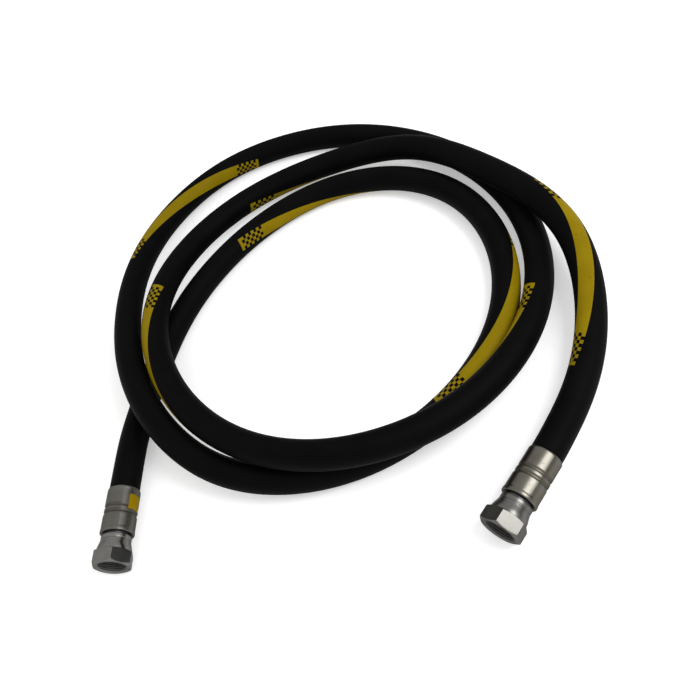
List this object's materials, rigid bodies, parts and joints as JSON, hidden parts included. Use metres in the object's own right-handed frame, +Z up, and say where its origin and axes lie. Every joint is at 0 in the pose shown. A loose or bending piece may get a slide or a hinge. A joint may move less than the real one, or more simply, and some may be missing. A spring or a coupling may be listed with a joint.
{
  "type": "hydraulic hose assembly",
  "caption": "Wire-braided black rubber hydraulic hose lying in a loose coil, with a crimped steel ferrule and a hexagonal swivel nut at each end.",
  "frame": {"origin": "on the floor below the middle of the box round the two couplings", "axes": "+Z up from the floor; -Y the way the left coupling points, towards someone who faces the couplings; +X from the left coupling to the right one"},
  "size_m": [0.4921, 0.5587, 0.0567],
  "materials": {
    "cover_rubber": "matt, with a printed yellow stripe",
    "braid_steel": "wire braid",
    "liner_rubber": "smooth",
    "plated_steel": "zinc plated, satin",
    "seal_rubber": "smooth",
    "spring_wire": "drawn wire",
    "label_film": "printed film"
  },
  "bodies": {
    "hose": {"hose_cover": "cover_rubber", "wire_braid": "braid_steel", "inner_tube": "liner_rubber", "left_label": "label_film", "left_ferrule": "plated_steel", "left_insert": "plated_steel", "left_cone_seal": "seal_rubber", "left_retaining_wire": "spring_wire", "right_ferrule": "plated_steel", "right_insert": "plated_steel", "right_cone_seal": "seal_rubber", "right_retaining_wire": "spring_wire"},
    "left_nut": {"left_swivel_nut": "plated_steel"},
    "right_nut": {"right_swivel_nut": "plated_steel"}
  },
  "joints": [
    {"name": "left_nut_turn", "type": "hinge", "parent": "hose", "child": "left_nut", "pos_m": [-0.1841, -0.01685, 0.01633], "axis": [0, -1, 0], "continuous": true},
    {"name": "right_nut_turn", "type": "hinge", "parent": "hose", "child": "right_nut", "pos_m": [0.15016, -0.03435, 0.01832], "axis": [-0.6293, -0.7771, 0], "continuous": true}
  ]
}
